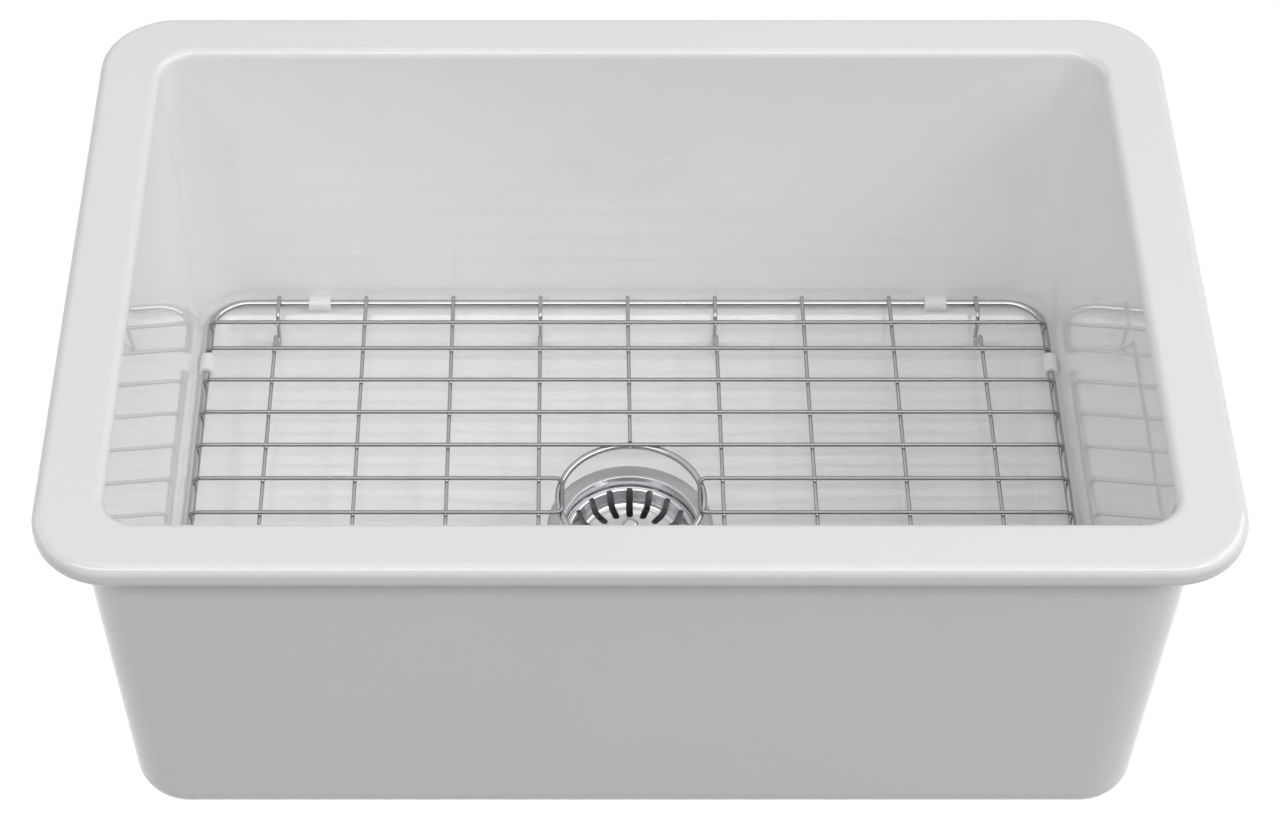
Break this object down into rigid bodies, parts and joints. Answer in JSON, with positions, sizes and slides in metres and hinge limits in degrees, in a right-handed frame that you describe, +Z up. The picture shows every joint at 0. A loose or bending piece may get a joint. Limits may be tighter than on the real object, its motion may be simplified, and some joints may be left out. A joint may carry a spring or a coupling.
{
  "type": "undermount kitchen sink",
  "caption": "Undermount kitchen sink: a deep glazed fireclay bowl with a flat rim, a welded wire bottom grid that lifts out, and a basket strainer in its central drain.",
  "frame": {"origin": "on the drain's vertical axis, level with the flat top of the rim, which is also the middle of the rim's outline", "axes": "+X along the sink to the right, +Y to the back, +Z up, square to the rim's top face"},
  "size_m": [0.686, 0.483, 0.3115],
  "materials": {
    "fireclay": "glossy white glaze",
    "grid_steel": "polished stainless steel wire",
    "sleeve_plastic": "soft white plastic",
    "strainer_steel": "satin stainless steel",
    "seal_rubber": "matte black rubber",
    "friction_card": "plain fibre card",
    "nut_brass": "cast brass",
    "guide_plastic": "matte dark plastic"
  },
  "bodies": {
    "sink": {"sink_bowl": "fireclay", "strainer_body": "strainer_steel", "flange_seal": "seal_rubber", "rubber_washer": "seal_rubber", "friction_ring": "friction_card", "lock_nut": "nut_brass", "stem_guide": "guide_plastic"},
    "basket": {"basket_cup": "strainer_steel", "basket_stem": "strainer_steel", "lift_knob": "strainer_steel", "basket_nut": "strainer_steel", "stopper_plate": "strainer_steel", "stopper_seal": "seal_rubber"},
    "grid": {"grid_frame": "grid_steel", "drain_ring": "grid_steel", "leg_wire_1": "grid_steel", "cross_wire_2": "grid_steel", "cross_wire_3": "grid_steel", "leg_wire_4": "grid_steel", "cross_wire_5_back": "grid_steel", "cross_wire_5_front": "grid_steel", "leg_wire_6": "grid_steel", "cross_wire_7": "grid_steel", "cross_wire_8": "grid_steel", "leg_wire_9": "grid_steel", "long_wire_back_1": "grid_steel", "long_wire_back_2": "grid_steel", "long_wire_back_3": "grid_steel", "long_wire_back_4": "grid_steel", "long_wire_back_5": "grid_steel", "long_wire_front_1": "grid_steel", "long_wire_front_2": "grid_steel", "long_wire_front_3": "grid_steel", "long_wire_front_4": "grid_steel", "long_wire_front_5": "grid_steel", "hairpin_wire_left": "grid_steel", "hairpin_wire_right": "grid_steel", "sleeve_back_left": "sleeve_plastic", "sleeve_left_back": "sleeve_plastic", "sleeve_front_left": "sleeve_plastic", "sleeve_left_front": "sleeve_plastic", "sleeve_back_right": "sleeve_plastic", "sleeve_right_back": "sleeve_plastic", "sleeve_front_right": "sleeve_plastic", "sleeve_right_front": "sleeve_plastic"}
  },
  "joints": [
    {"name": "grid_lift", "type": "slide", "parent": "sink", "child": "grid", "axis": [0, 0, 1], "range_m": [0, 0.26]},
    {"name": "basket_lift", "type": "slide", "parent": "sink", "child": "basket", "axis": [0, 0, 1], "range_m": [0, 0.31]}
  ]
}
